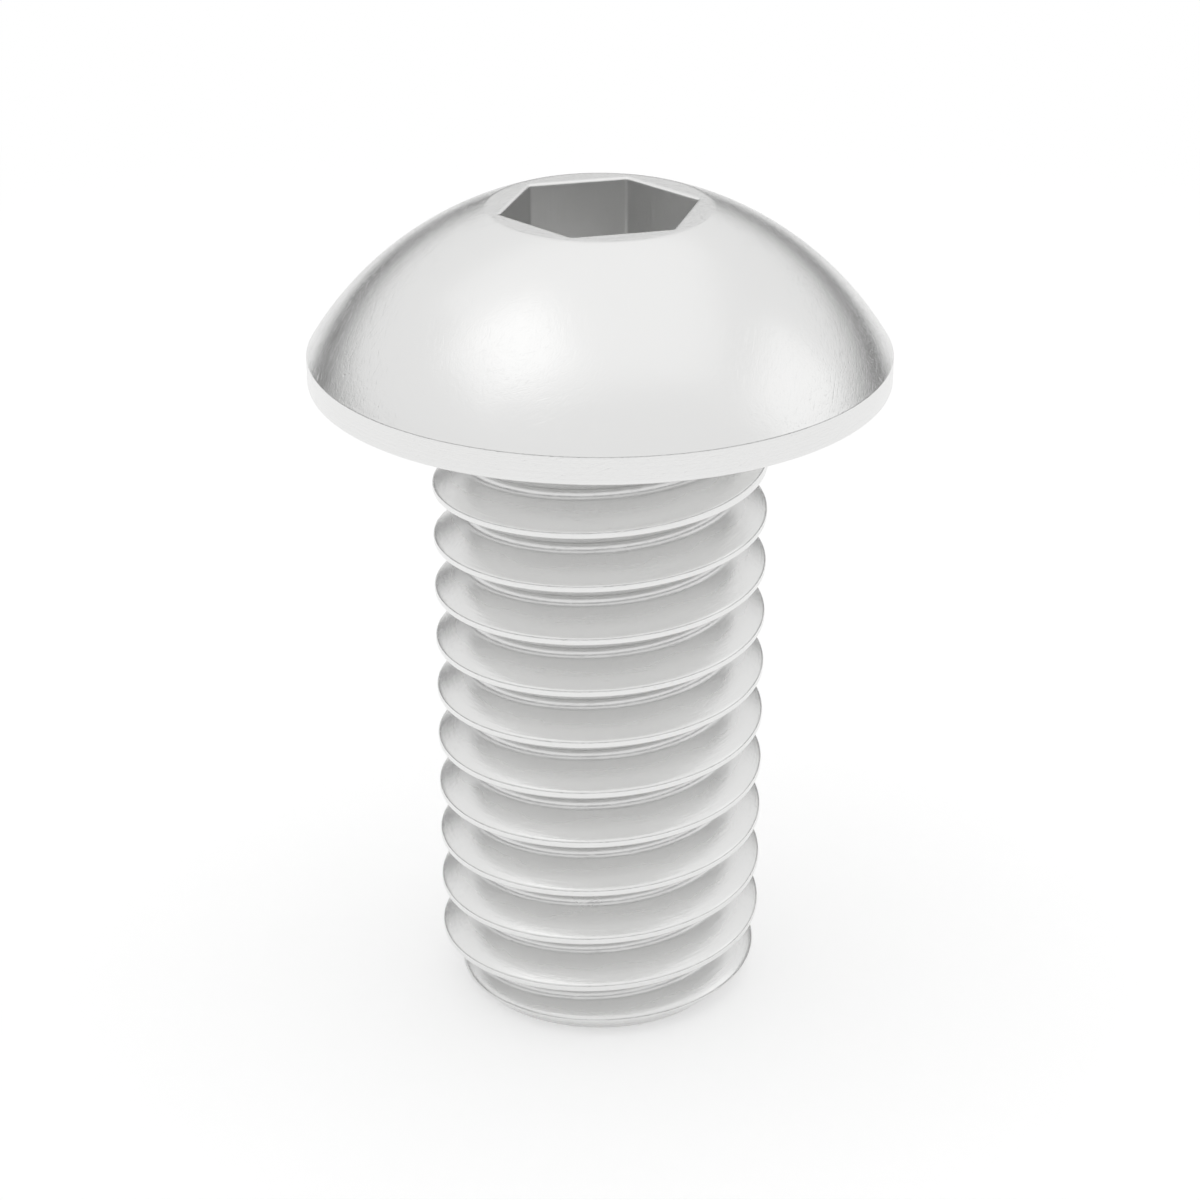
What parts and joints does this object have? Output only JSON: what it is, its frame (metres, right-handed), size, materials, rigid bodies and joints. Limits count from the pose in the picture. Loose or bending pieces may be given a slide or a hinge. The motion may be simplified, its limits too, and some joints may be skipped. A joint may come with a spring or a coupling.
{
  "type": "button head screw",
  "caption": "Low domed screw head with a hexagon socket and a straight rim, on a short shank with a chamfered flat end.",
  "frame": {"origin": "centre of the flat bearing face under the head, on the screw's axis", "axes": "+Z along the screw's axis towards the head, +X towards a corner of the hexagon socket"},
  "size_m": [0.0102, 0.0102, 0.015],
  "materials": {
    "stainless_steel": "bright satin stainless steel, cold formed and turned, no coating"
  },
  "bodies": {
    "root": {"screw": "stainless_steel"}
  },
  "joints": []
}
